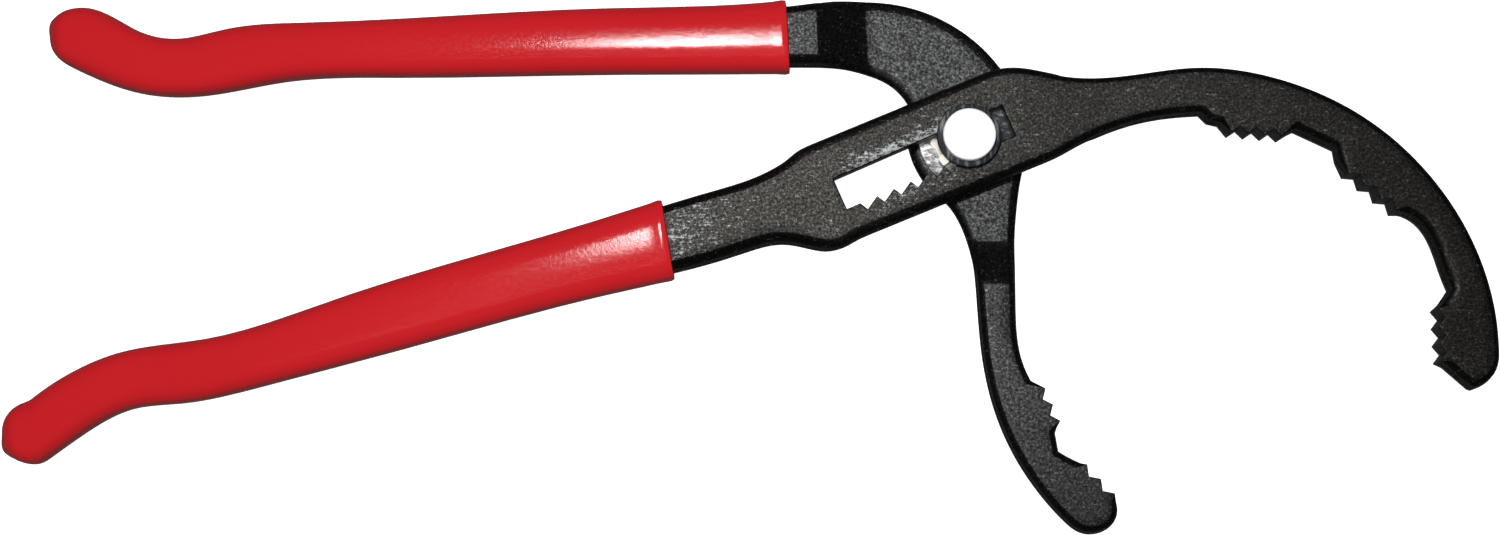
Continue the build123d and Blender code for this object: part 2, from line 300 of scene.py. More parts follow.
def strip_faces(rows, columns, start, closed_rows=False):
    """Quads of a grid of points stored row after row, its columns running round a closed loop."""
    row = np.arange(rows if closed_rows else rows - 1)[:, None]
    column = np.arange(columns)[None]
    after, below = (column + 1) % columns, (row + 1) % rows
    quads = np.stack([row * columns + column, row * columns + after,
                      below * columns + after, below * columns + column], -1)
    return (quads.reshape(-1, 4) + start).tolist()


def edge_rows(front, back, middle, rim_width, rib):
    """Rows of a forging's edge, from its front face to its back face, as (inset, height) arrays.

    Each rim leaves its face with a crease and rolls over to the wall: inset falls as
    (1 - sin a) / (1 - sin c) and depth grows as (cos c - cos a) / cos c while a turns from the
    crease angle c to a right angle. Between the rims the wall stands back from the trimmed flash
    rib, whose rows are given as shares of its depth and height about the parting height. rib holds
    the forged share, which is 0 along cut teeth, and how proud and how tall the rib is.
    """
    share, proud, tall = rib
    proud = proud * share
    width = CUT_RIM + (rim_width - CUT_RIM) * share
    deep = np.minimum(RIM_DEPTH * width, RIM_DEEPEST * (front - back))
    angles = [CREASE, *np.linspace(CREASE + CREASE_ROUND, pi / 2, RIM_ROWS - 1)]
    rims = [(proud * WALL_SETBACK + width * (1 - sin(a)) / (1 - sin(CREASE)),
             deep * (cos(CREASE) - cos(a)) / cos(CREASE)) for a in angles]
    rows = [(inset, front - depth) for inset, depth in rims]
    if tall > 0:
        seam = np.clip(middle, back + deep + RIB_MARGIN * tall, front - deep - RIB_MARGIN * tall)
        rows += [(proud * back_from, seam + above * tall) for back_from, above in RIB_ROWS]
    return rows + [(inset, back + depth) for inset, depth in rims[::-1]]


def field_points(outlines, fill, lines=()):
    """Points inside outlines: a grid with fill metres between its points, and extra lines of points.

    The grid is bent by a small sine, so that no four of its points lie on a circle. Points close to
    an outline are left out.
    """
    low, high = outlines[0].min(0), outlines[0].max(0)
    grid = np.stack(np.meshgrid(np.arange(low[0], high[0], fill), np.arange(low[1], high[1], fill)), -1)
    grid = grid.reshape(-1, 2)
    bend, bends_per_metre, clear = 0.07 * fill, 977.0, 0.3 * fill
    field = grid + bend * np.sin(grid[:, ::-1] * bends_per_metre)
    field = np.vstack([field] + list(lines)) if lines else field
    field = field[inside(field, outlines)]
    rim = np.vstack(outlines)
    gap = np.hypot(field[:, :1] - rim[:, 0], field[:, 1:] - rim[:, 1]).min(1)
    return field[gap > clear]


def flat_mesh(outlines, field):
    """Delaunay triangles over outlines, kept as edges, and a field of points inside them."""
    links, first = [], 0
    for outline in outlines:
        k = np.arange(len(outline))
        links += (np.stack([k, np.roll(k, -1)], 1) + first).tolist()
        first += len(outline)
    flat = np.vstack([*outlines, field])
    every_triangle, weld = 0, 1e-9
    made = delaunay_2d_cdt([Vector(p) for p in flat.tolist()], links, [], every_triangle, weld)
    points = np.array([tuple(v) for v in made[0]])
    triangles = np.array([list(f) for f in made[2]])
    return points, triangles[inside(points[triangles].mean(1), outlines)]


def slab(loops, front, back, edges, middle, fill=2.5 * MM, lines=()):
    """Closed plate between two height functions, with an edge profile carried along each outline.

    Rows of the profile are offset from the outline along its mitres; both faces are triangles over
    the innermost rows and a field of inner points. Returns places, faces and a mark, which carries
    painted shade and roughness, that is 0 on the faces, 1 on the rims and less on the parting rib.
    """
    places, faces, mark, rims = [], [], [], []
    start = 0
    for loop, (rim_width, rib) in zip(loops, edges):
        out = mitres(loop)
        top, low = front(loop[:, 0], loop[:, 1]), back(loop[:, 0], loop[:, 1])
        rows = edge_rows(top, low, middle, rim_width, (forged_share(loop), *rib))
        grid = []
        for index, (inset, height) in enumerate(rows):
            at = loop - out * np.broadcast_to(inset, top.shape)[:, None]
            if index == 0:
                height = front(at[:, 0], at[:, 1])
            if index == len(rows) - 1:
                height = back(at[:, 0], at[:, 1])
            grid.append(np.column_stack([at, height]))
            from_face = min(index, len(rows) - 1 - index)
            # mark for painted shade and lower roughness: 0 on the faces, 1 on the rims, RIB_MARK on the rib
            rim_shade_and_gloss = 0.0 if from_face == 0 else 1.0 if from_face < RIM_ROWS else RIB_MARK
            mark.append(np.full(len(loop), rim_shade_and_gloss))
        places += grid
        faces += strip_faces(len(rows), len(loop), start)
        rims.append((start, start + (len(rows) - 1) * len(loop), len(loop)))
        start += len(rows) * len(loop)
    places = [np.vstack(places)]
    mark = [np.concatenate(mark)]
    for side, height in ((0, front), (1, back)):
        ids = [np.arange(rim[side], rim[side] + rim[2]) for rim in rims]
        outlines = [places[0][i][:, :2] for i in ids]
        points, triangles = flat_mesh(outlines, field_points(outlines, fill, lines))
        places.append(np.column_stack([points, height(points[:, 0], points[:, 1])]))
        mark.append(np.zeros(len(points)))
        if side:
            triangles = triangles[:, ::-1]
        faces += (triangles + start).tolist()
        start += len(points)
    return np.vstack(places), faces, np.concatenate(mark)


def turned(profile, count):
    """Surface of revolution about the pivot axis: profile (radius, height) turned through a circle."""
    profile = np.array(profile)
    angle = np.linspace(0, 2 * pi, count, endpoint=False)
    x = profile[:, 0][:, None] * np.cos(angle)
    y = profile[:, 0][:, None] * np.sin(angle)
    z = np.repeat(profile[:, 1][:, None], count, 1)
    return np.stack([x, y, z], -1).reshape(-1, 3)


def rounded_ring(inner, outer, low, high, radius, steps=5):
    """Profile of a ring with rounded outer rims, as (radius, height) points going round it."""
    arc = np.linspace(0, pi / 2, steps)
    upper = [(outer - radius + radius * sin(a), high - radius + radius * cos(a)) for a in arc]
    lower = [(outer - radius + radius * cos(a), low + radius - radius * sin(a)) for a in arc]
    return [(inner, low), (inner, high)] + upper + lower


# ---------------------------------------------------------------- levels and places

FRONT_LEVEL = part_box("slotted_arm")[1].z
BACK_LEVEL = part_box("slotted_arm")[0].z
PARTING_LEVEL = (FRONT_LEVEL + BACK_LEVEL) / 2
LAP_LEVEL = widest_level("slotted_arm", BACK_LEVEL, FRONT_LEVEL)
PAD_WITHIN = 0.1 * MM       # the bearing pad's face is at most this far above the parting plane
RELIEF_BELOW = 0.5 * MM     # the relief round it is at least this far below that plane
RELIEF_LEVEL = widest_level("hub_arm", BACK_LEVEL, PARTING_LEVEL - RELIEF_BELOW)
PAD_LEVEL = widest_level("hub_arm", RELIEF_LEVEL, PARTING_LEVEL + PAD_WITHIN)
VINYL_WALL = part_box("upper_grip")[1].z - FRONT_LEVEL
SLIDE = next(joint for joint in frame["record"]["behaviour"]["joints"] if joint["type"] == "slide")
SLOT_WAY = -np.array(SLIDE["axis"][:2])
LAP_SLOPES = (slope_plane("slotted_arm", lambda at: at[:, 0] < -20 * MM),
              slope_plane("slotted_arm", lambda at: at[:, 0] > 10 * MM))
HUB_SLOPES = (slope_plane("hub_arm", lambda at: (at[:, 0] < -20 * MM) & (at[:, 1] > 0)),
              slope_plane("hub_arm", lambda at: at[:, 1] < -20 * MM))
LAP_CREASES = ((-45.0, -18.0), (25.0, 5.0))     # places close to each slope's creases, in mm
HUB_CREASES = ((-40.0, 32.0), (5.0, -40.0))
SLOT_RINGS = (0.8, 1.4, 2.2, 3.2)               # distances from the slot, in mm, for the bare mark
JAW_BLEND = 60 * MM                             # run over which the handles' rim becomes the jaws'


def slotted_back(x, y):
    """Back of the slotted arm: the lap in the middle, a slope to full thickness at each end."""
    to_handle, to_jaw = LAP_SLOPES
    return np.clip(np.minimum(to_handle(x, y), to_jaw(x, y)), BACK_LEVEL, LAP_LEVEL)


def hub_front(x, y):
    """Front of the hub arm: relieved round the pivot, a slope up to the handle and one to the jaw."""
    to_handle, to_jaw = HUB_SLOPES
    rise = np.maximum(np.where(y > 0, to_handle(x, y), 0), to_jaw(x, y))
    return np.clip(rise, RELIEF_LEVEL, FRONT_LEVEL)


def crease_lines(slopes, levels, centres):
    """Rows of points along every crease of a forging's slopes."""
    return [crease_points(plane, levels, np.array(at) * MM) for plane, at in zip(slopes, centres)]


def rim_widths(sizes, towards_jaw):
    """Rim width at each point, from the handles' to the jaws', changing evenly about the pivot."""
    to_jaw = np.clip(towards_jaw / JAW_BLEND + 0.5, 0, 1)
    return sizes.rim_round + (sizes.jaw_rim_round - sizes.rim_round) * to_jaw


def rubbed_bare(places, slot, width):
    """How bare the front forging is rubbed: beside the slot, and past the mouth of its grip.

    Beside the slot it falls off over width, is stronger on the slot's +Y side, rises from the slot's
    end towards the handle and is nearly gone past the pivot.
    """
    both_sides, upper_side, most, least = 0.3, 0.6, 1.1, 0.15
    rise, fall, past_pivot = 8 * MM, 10 * MM, 4 * MM
    scuff, scuff_run = 0.45, 24 * MM
    away = np.hypot(places[:, :1] - slot[:, 0], places[:, 1:2] - slot[:, 1]).min(1)
    across = places[:, 1] * SLOT_WAY[0] - places[:, 0] * SLOT_WAY[1]
    along = places[:, 0] * SLOT_WAY[0] + places[:, 1] * SLOT_WAY[1]
    bare = np.clip(most - away / width, 0, 1) * (both_sides + upper_side * (across > 0))
    bare *= np.clip((along - slot[:, 0].min()) / rise, 0, 1)
    bare *= np.clip((past_pivot - along) / fall, least, 1)
    mouth, way = grip_mouth("lower_grip")
    clear = (places[:, :2] - mouth) @ way
    return np.maximum(bare, scuff * np.clip(1 - clear / scuff_run, 0, 1) * (clear > 0))


def grip_mouth(node, near=10 * MM, facing=0.95, upright=0.02):
    """Middle and direction of a grip's open end: the flat end nearest to the jaws."""
    places, corners = node_arrays(node)
    normal, area, middle = triangle_facts(places, corners)
    nearest = middle[:, 0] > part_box(node)[1].x - near
    end = nearest & (normal[:, 0] > facing) & (np.abs(normal[:, 2]) < upright)
    weight = area[end][:, None]
    way = (normal[end] * weight).sum(0)[:2]
    return (middle[end] * weight).sum(0)[:2] / weight.sum(), way / np.linalg.norm(way)


def thin_under_grip(node, amount=1.8 * MM, run=6.0 * MM):
    """How much a handle is thinned at (x, y): from nothing at the grip's mouth to the full amount.

    t grows from 0 to 1 over the run, starting half a run inside the mouth, and the thinning follows
    t * t * (3 - 2 * t).
    """
    middle, way = grip_mouth(node)

    def thinning(x, y):
        inward = -((x - middle[0]) * way[0] + (y - middle[1]) * way[1])
        t = np.clip((inward - 0.5 * run) / run, 0, 1)
        return amount * t * t * (3 - 2 * t)

    return thinning


def grip_surface(arm, level, node, shape):
    """Dipped sleeve as a tube of superellipses, from the handle's rounded end to a beaded mouth.

    Rungs join points at equal shares of the handle's two sides, both grown by the wall. A section is
    centre + rung * sgn(c)|c|^(2/n) + height * sgn(s)|s|^(2/n); the height falls off in an ellipse at
    the end, and the wall swells into a bead and rolls in to the arm at the mouth, where a small
    plug closes it inside the steel. A drip left by the dipping pulls the surface out by a bell curve
    round the end's lowest point in the bath.
    """
    squareness, bead, drip, drip_width, drip_turn = shape
    spacing, corner, sections, crowding, columns = 0.6 * MM, radians(50), 240, 1.25, 72
    bead_back, bead_run, roll_run, tuck, plug = 2.2 * MM, 1.6 * MM, 1.9 * MM, 0.25 * MM, 0.2
    tip_run, tip_power = 5.5 * MM, 2.2
    loop = smooth_loop(face_loops(arm, level)[0], spacing, corner)
    out = mitres(loop)
    middle, way = grip_mouth(node)
    depth = -((loop - middle) @ way)
    end = depth.argmax()
    loop, out, depth = (np.roll(a, -end, 0) for a in (loop, out, depth))
    lower = np.arange(np.argmax(depth < 0) + 1)
    upper = -np.arange(np.argmax(depth[::-1] < 0) + 2)
    share = np.linspace(0, 1, sections) ** crowding
    sides = []
    for side in (lower, upper):
        run, normal = loop[side], out[side]
        far = np.concatenate([[0], np.cumsum(np.linalg.norm(np.diff(run, axis=0), axis=1))])
        stop = np.interp(0, -depth[side], far)
        at = share * stop
        sides.append((np.stack([np.interp(at, far, run[:, k]) for k in (0, 1)], 1),
                      np.stack([np.interp(at, far, normal[:, k]) for k in (0, 1)], 1), at))
    (low, low_out, low_far), (high, high_out, _) = sides
    to_mouth = low_far[-1] - low_far
    bell = np.exp(-((to_mouth - bead_back) / bead_run) ** 2)
    roll = np.sqrt(np.clip(1 - (1 - np.clip(to_mouth / roll_run, 0, 1)) ** 2, 0, 1))
    wall = (VINYL_WALL + bead * bell) * roll - tuck * (1 - roll)
    low_edge, high_edge = low + low_out * wall[:, None], high + high_out * wall[:, None]
    centre, rung = (low_edge + high_edge) / 2, (high_edge - low_edge) / 2
    from_end = np.clip(np.linalg.norm(centre - centre[0], axis=1) / tip_run, 0, 1)
    full = np.sqrt(np.clip(1 - (1 - from_end) ** tip_power, 0, 1))
    half_height = ((FRONT_LEVEL - BACK_LEVEL) / 2 + wall) * full
    angle = np.linspace(0, 2 * pi, columns, endpoint=False)
    power = 2 / squareness
    across = np.sign(np.cos(angle)) * np.abs(np.cos(angle)) ** power
    upward = np.sign(np.sin(angle)) * np.abs(np.sin(angle)) ** power
    places = np.zeros((sections, columns, 3))
    places[..., :2] = centre[:, None] + rung[:, None] * across[None, :, None]
    places[..., 2] = PARTING_LEVEL + half_height[:, None] * upward
    places[-1, :, :2] = centre[-1] + plug * rung[-1] * across[:, None]
    places[-1, :, 2] = PARTING_LEVEL + plug * half_height[-1] * upward
    pull = np.array([cos(drip_turn), sin(drip_turn), 0])
    flat = places[:, :, :2].reshape(-1, 2)
    spot = flat[(flat @ pull[:2]).argmax()]
    away = np.linalg.norm(places - np.array([*spot, PARTING_LEVEL]), axis=-1)
    places += drip * np.exp(-(away / drip_width) ** 2)[..., None] * pull
    cap = [list(range(columns * (sections - 1), columns * sections))]
    return places.reshape(-1, 3), strip_faces(sections, columns, 0) + cap


def hexagon_nut(bore, flats, low, high, columns=144):
    """Chamfered hexagon: radius (flats / 2) / cos(angle within a sixth), cut by a rounded cone.

    The cone's rows are (radius as a share of flats, depth as a share of the height).
    """
    cone = ((0.47, 0), (0.495, 0.02), (0.515, 0.05), (0.54, 0.10), (0.565, 0.16), (0.59, 0.23))
    angle = np.linspace(0, 2 * pi, columns, endpoint=False)
    side = flats / 2 / np.cos((angle + pi / 6) % (pi / 3) - pi / 6)
    rows = [(bore, 0)] + [(cap * flats, deep) for cap, deep in cone]
    rows += [(cap * flats, 1 - deep) for cap, deep in cone[::-1]] + [(bore, 1)]
    radius = np.stack([np.minimum(cap, side) for cap, _ in rows])
    rise = low + (high - low) * np.array([deep for _, deep in rows])
    height = np.repeat(rise[:, None], columns, 1)
    places = np.stack([radius * np.cos(angle), radius * np.sin(angle), height], -1).reshape(-1, 3)
    return places, strip_faces(len(rows), columns, 0, closed_rows=True)


# ---------------------------------------------------------------- materials

RUB_TURN = 0.41             # direction in which the arms rub over each other, in radians


def linear(code):
    """Opaque linear colour of an sRGB hex value such as "c62026"."""
    values = np.array([int(code[k:k + 2], 16) / 255 for k in (0, 2, 4)])
    values = np.where(values <= 0.04045, values / 12.92, ((values + 0.055) / 1.055) ** 2.4)
    return (*values.tolist(), 1.0)


def blank(name):
    """New material with a Principled shader; returns the material, its tree and the shader."""
    material = bpy.data.materials.new(name)
    material.use_nodes = True
    return material, material.node_tree, material.node_tree.nodes["Principled BSDF"]


def feed(tree, node, **inputs):
    """Sets inputs of a node, by name or i0, i1, to a value or to the output of another node."""
    for name, value in inputs.items():
        place = int(name[1:]) if name[0] == "i" and name[1:].isdigit() else name.replace("_", " ")
        if isinstance(value, bpy.types.NodeSocket):
            tree.links.new(value, node.inputs[place])
        else:
            node.inputs[place].default_value = value
    return node


def add(tree, kind, settings=None, **inputs):
    """Adds a node: settings sets its properties, inputs are for feed."""
    node = tree.nodes.new(kind)
    for name, value in (settings or {}).items():
        setattr(node, name, value)
    return feed(tree, node, **inputs)


def bump(tree, height, strength, distance):
    """Normal disturbed by a height."""
    return add(tree, "ShaderNodeBump", Strength=strength, Distance=distance, Height=height).outputs[0]


def ramp(tree, factor, stops):
    """Colour ramp over (place, colour) stops; returns its colour output."""
    node = add(tree, "ShaderNodeValToRGB", i0=factor)
    while len(node.color_ramp.elements) < len(stops):
        node.color_ramp.elements.new(0.5)
    for element, (place, colour) in zip(node.color_ramp.elements, stops):
        element.position, element.color = place, colour
    return node.outputs["Color"]


def grey(value):
    """Opaque grey of a linear value."""
    return (value, value, value, 1.0)


def mixed(tree, factor, first, second):
    """Mix of two colours or colour sockets; returns the colour."""
    node = add(tree, "ShaderNodeMix", {"data_type": "RGBA"}, i0=factor, i6=first, i7=second)
    return node.outputs[2]


def attribute(tree, name):
    """Value of a per-vertex mark."""
    return add(tree, "ShaderNodeAttribute", {"attribute_name": name}).outputs["Fac"]


def noise(tree, grain, detail=3.0, stretch=None, rough=0.6):
    """Noise on Object coordinates whose features are about grain metres wide."""
    spot = add(tree, "ShaderNodeTexCoord").outputs["Object"]
    if stretch:
        turn, pull = stretch
        spot = add(tree, "ShaderNodeMapping", Vector=spot, Rotation=(0, 0, turn), Scale=pull).outputs[0]
    node = add(tree, "ShaderNodeTexNoise", Vector=spot, Scale=0.5 / grain, Detail=detail, Roughness=rough)
    return node.outputs["Fac"]


def maths(tree, operation, first, second):
    """Math node on two values; returns its value."""
    return add(tree, "ShaderNodeMath", {"operation": operation}, i0=first, i1=second).outputs[0]


def black_forging(name, colours, bright):
    """Drop-forged steel, shot-blasted and black phosphated: a dark, grainy, half-matt skin.

    Blasting leaves dimples about 0.4 mm across that catch the light as pale specks; the rounded rims
    are smoother, and painted shade darkens their colour, as it does the slot walls and the rear
    forging's slopes; where the arms rub, fine bright scratches run through the black.
    """
    material, tree, shader = blank(name)
    rim_painted_shade, edge_roughness, bare_lift = 0.74, 0.38, 0.17
    dark, light = (linear(code) for code in colours)
    speck = noise(tree, 0.38 * MM, 4, rough=0.8)
    patch = noise(tree, 12 * MM, 4)
    skin = ramp(tree, speck, [(0.38, dark), (0.54, mix_colour(dark, light, 0.3)), (0.66, light)])
    skin = mixed(tree, ramp(tree, patch, [(0.4, grey(0.3)), (0.65, grey(0.0))]), skin, dark)
    edge = attribute(tree, "edge")
    # painted shade: the edge mark darkens the rims, slot walls and slopes towards the dark colour
    skin = mixed(tree, maths(tree, "MULTIPLY", edge, rim_painted_shade), skin, dark)
    scratch = noise(tree, 0.3 * MM, 3, (RUB_TURN, (0.16, 1, 1)))
    scuff = noise(tree, 0.45 * MM, 4, rough=0.8)
    worn = maths(tree, "ADD", maths(tree, "MULTIPLY", scratch, 0.4), maths(tree, "MULTIPLY", scuff, 0.6))
    worn = maths(tree, "ADD", worn, maths(tree, "MULTIPLY", attribute(tree, "bare"), bare_lift))
    worn = ramp(tree, worn, [(0.58, grey(0)), (0.68, grey(1))])
    colour = mixed(tree, worn, skin, linear(bright))
    gloss = ramp(tree, speck, [(0.3, grey(0.56)), (0.7, grey(0.44))])
    gloss = mixed(tree, edge, gloss, grey(edge_roughness))
    relief = bump(tree, speck, 0.35, 0.1 * MM)
    feed(tree, shader, Base_Color=colour, Metallic=0.97, Roughness=gloss, Normal=relief)
    return material


def mix_colour(first, second, share):
    """Colour part of the way between two."""
    return tuple(a + (b - a) * share for a, b in zip(first, second))


def machined(name, code, rough, metallic, ring=0.0, wear=0.25):
    """Turned or ground steel: bright, with fine tool marks round the pivot axis and faint smudges.

    ring is the spacing of the tool marks; they follow the distance from the axis. wear is how much
    the smudges and marks show.
    """
    material, tree, shader = blank(name)
    waves_per_unit = 3          # of a wave texture whose scale is 1
    base = linear(code)
    smudge = noise(tree, 3.5 * MM, 4)
    fine = noise(tree, 0.5 * MM, 3, (0.3, (1, 0.15, 1)))
    tone = mixed(tree, maths(tree, "MULTIPLY", smudge, wear), base, mix_colour(base, grey(0.02), 0.75))
    tone = mixed(tree, ramp(tree, fine, [(0.5, grey(0)), (0.75, grey(wear))]), tone, grey(0.9))
    gloss = ramp(tree, smudge, [(0.3, grey(rough)), (0.7, grey(min(rough + 0.12, 1)))])
    feed(tree, shader, Base_Color=tone, Metallic=metallic, Roughness=gloss)
    if ring:
        spot = add(tree, "ShaderNodeTexCoord").outputs["Object"]
        rings = add(tree, "ShaderNodeTexWave", {"wave_type": "RINGS", "rings_direction": "Z"},
                    Vector=spot, Scale=1 / ring / waves_per_unit, Distortion=0.3)
        feed(tree, shader, Normal=bump(tree, rings.outputs["Fac"], 0.12, 0.03 * MM))
    return material


def scoured_pad(name, colours):
    """Bearing face rubbed by the other arm: worn black skin broken by bright, smeared steel."""
    material, tree, shader = blank(name)
    dark, light = (linear(code) for code in colours)
    brighter_per_metre = -6.0   # along X: brighter towards the handles' side
    smear = noise(tree, 0.7 * MM, 5, (RUB_TURN, (0.6, 1, 1)), 0.8)
    patch = noise(tree, 4 * MM, 2)
    place = add(tree, "ShaderNodeSeparateXYZ", i0=add(tree, "ShaderNodeTexCoord").outputs["Object"])
    handle_side = maths(tree, "MULTIPLY", place.outputs[0], brighter_per_metre)
    worn = maths(tree, "ADD", maths(tree, "ADD", smear, handle_side), maths(tree, "MULTIPLY", patch, 0.3))
    tone = ramp(tree, worn, [(0.58, dark), (0.71, mix_colour(dark, light, 0.35)), (0.82, light)])
    relief = bump(tree, smear, 0.3, 0.06 * MM)
    feed(tree, shader, Base_Color=tone, Metallic=0.4, Roughness=0.4, Normal=relief)
    return material


def dipped_vinyl(name, code):
    """Plastisol dip, smooth and glossy: deep red with slow ripples where it ran, and tiny specks."""
    material, tree, shader = blank(name)
    base = linear(code)
    shade = noise(tree, 26 * MM, 2)
    tone = mixed(tree, ramp(tree, shade, [(0.35, grey(0)), (0.7, grey(0.3))]), base,
                 mix_colour(base, grey(0.0), 0.2))
    peel = noise(tree, 0.5 * MM, 3)
    run = noise(tree, 9 * MM, 1, (0, (0.5, 1, 1)))
    gloss = ramp(tree, peel, [(0.35, grey(0.09)), (0.65, grey(0.17))])
    height = maths(tree, "ADD", maths(tree, "MULTIPLY", peel, 0.5), run)
    relief = bump(tree, height, 0.32, 0.15 * MM)
    feed(tree, shader, Base_Color=tone, Roughness=gloss, IOR=1.5, Normal=relief)
    return material


def lit_floor(name, glow):
    """Matt white paper lit from behind, so that it stays plain white under the tool."""
    material, tree, shader = blank(name)
    fibre = noise(tree, 3 * MM, 2)
    tone = ramp(tree, fibre, [(0.3, grey(0.9)), (0.7, grey(0.93))])
    feed(tree, shader, Base_Color=tone, Roughness=1.0, Emission_Color=grey(1.0), Emission_Strength=glow)
    return material


# ---------------------------------------------------------------- settings

def length(name, description, millimetres):
    """Property for a length whose default is given in millimetres."""
    return FloatProperty(name=name, description=description, default=millimetres * MM, unit="LENGTH")


class ForgingSettings(bpy.types.PropertyGroup):
    """Sizes and colours of the two forgings."""
    rim_round: length("Rim width", "Width of the handles' forged rims", 2.5)
    jaw_rim_round: length("Jaw rim width", "Width of the jaws' forged rims", 1.7)
    rib_proud: length("Parting rib", "Height of the trimmed flash rib", 0.28)
    rib_tall: length("Parting rib width", "Width of the trimmed flash rib", 1.2)
    slot_round: length("Slot rim width", "Width of the slot's rims", 0.3)
    bare_width: length("Bare rim", "Width of steel rubbed bare by the slot", 4.5)
    spacing: length("Outline spacing", "Distance of points along an outline", 1.0)


class GripSettings(bpy.types.PropertyGroup):
    """Shape of the dipped grips."""
    squareness: FloatProperty(name="Squareness", description="Exponent of the section's superellipse",
                              default=2.9)
    bead: length("Mouth bead", "Swelling of the wall at the mouth", 0.15)
    drip: length("Drip", "Length of the drip left at the end", 1.1)
    drip_width: length("Drip width", "Width of the drip", 3.0)


class HardwareSettings(bpy.types.PropertyGroup):
    """Sizes of the pivot's hardware that the frame doesn't hold."""
    head_round: length("Head rounding", "Radius of the bolt head's rim", 0.5)
    washer_round: length("Washer rounding", "Radius of the washers' rims", 0.3)
    shank_chamfer: length("Shank chamfer", "Chamfer at the shank's end", 0.4)
    pad_under: length("Pad below", "Depth of the shown pad under the CAD's", 0.08)
    pad_round: length("Pad rounding", "Radius of the pad's rim", 0.25)
    key_round: length("Key bevel", "Width of the bevel on the key's edges", 0.14)
    turns: IntProperty(name="Columns", description="Columns of the turned pieces", default=96)


class StageSettings(bpy.types.PropertyGroup):
    """Camera and light."""
    aim: FloatVectorProperty(name="Aim", description="Point the camera looks at, from the pivot",
                             default=(-59.68 * MM, -35.94 * MM, 17.4 * MM), unit="LENGTH")
    offset: FloatVectorProperty(name="Camera offset", description="Camera from the point it looks at",
                                default=(13.3 * MM, -89.6 * MM, 622.0 * MM), unit="LENGTH")
    lens: FloatProperty(name="Lens", description="Focal length in millimetres on a 36 mm sensor",
                        default=55.65)
    floor_glow: FloatProperty(name="Floor glow", description="Light given off by the floor", default=0.9)


# ---------------------------------------------------------------- operators

class PLIERS_OT_slotted_forging(bpy.types.Operator):
    """Front forging with the slot, the rack and the large jaw"""
    bl_idname = "pliers.slotted_forging"
    bl_label = "Slotted forging"

    def execute(self, context):
        sizes = context.scene.pliers_forging
        loops = [smooth_loop(loop, sizes.spacing) for loop in face_loops("slotted_arm", FRONT_LEVEL)]
        thin = thin_under_grip("lower_grip")
        rib = (sizes.rib_proud, sizes.rib_tall)
        slot = loops[1]
        lines = [slot - mitres(slot) * wide * MM for wide in SLOT_RINGS]
        lines += crease_lines(LAP_SLOPES, (BACK_LEVEL, LAP_LEVEL), LAP_CREASES)
        rim = rim_widths(sizes, loops[0][:, 0])
        places, faces, edge = slab(
            loops, lambda x, y: FRONT_LEVEL - thin(x, y),
            lambda x, y: slotted_back(x, y) + thin(x, y),
            [(rim, rib), (sizes.slot_round, NO_RIB)], PARTING_LEVEL, lines=lines)
        # the slot's walls carry the edge mark, so painted shade darkens them and they get no bare wear
        bare = rubbed_bare(places, slot, sizes.bare_width) * (1 - edge)
        material = black_forging("black_phosphated_forging_brown", ("2a2927", "928f89"), "d4d8d8")
        make_piece("slotted_forging", places, faces, "slotted_body", "forged_steel", ("slotted_arm",),
                   material, edge=edge, bare=bare)
        return {"FINISHED"}


class PLIERS_OT_hub_forging(bpy.types.Operator):
    """Rear forging with the small jaw"""
    bl_idname = "pliers.hub_forging"
    bl_label = "Hub forging"

    def execute(self, context):
        sizes = context.scene.pliers_forging
        loops = [smooth_loop(loop, sizes.spacing) for loop in face_loops("hub_arm", BACK_LEVEL)]
        thin = thin_under_grip("upper_grip")
        rib = (sizes.rib_proud, sizes.rib_tall)
        lines = crease_lines(HUB_SLOPES, (RELIEF_LEVEL, FRONT_LEVEL), HUB_CREASES)
        rim = rim_widths(sizes, -loops[0][:, 1])
        places, faces, edge = slab(
            loops, lambda x, y: hub_front(x, y) - thin(x, y), lambda x, y: BACK_LEVEL + thin(x, y),
            [(rim, rib), (sizes.slot_round, NO_RIB)], PARTING_LEVEL, lines=lines)
        material = black_forging("black_phosphated_forging", ("2a2a2a", "aaacac"), "d4d8d8")
        # the slopes between the relief and the front face get the rims' painted shade through the edge mark
        slope = (places[:, 2] < FRONT_LEVEL - ON_LEVEL) & (places[:, 2] > RELIEF_LEVEL + ON_LEVEL)
        make_piece("hub_forging", places, faces, "hub_body", "forged_steel", ("hub_arm",), material,
                   edge=np.maximum(edge, slope), bare=np.zeros(len(places)))
        return {"FINISHED"}


class PLIERS_OT_pad(bpy.types.Operator):
    """Ground pad of the rear forging, which the front one bears on"""
    bl_idname = "pliers.pad"
    bl_label = "Bearing pad"

    def execute(self, context):
        sizes = context.scene.pliers_hardware
        columns = 128
        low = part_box("locking_key")[0].z
        rims = np.vstack(face_loops("hub_arm", PAD_LEVEL))
        radius = np.hypot(rims[:, 0], rims[:, 1])
        ring = rounded_ring(radius.min(), radius.max(), low, PAD_LEVEL - sizes.pad_under, sizes.pad_round)
        make_piece("bearing_pad", turned(ring, columns), strip_faces(len(ring), columns, 0, True),
                   "hub_body", "bright_steel", (), scoured_pad("scoured_bearing_pad", ("30383c", "ecebe8")))
        return {"FINISHED"}


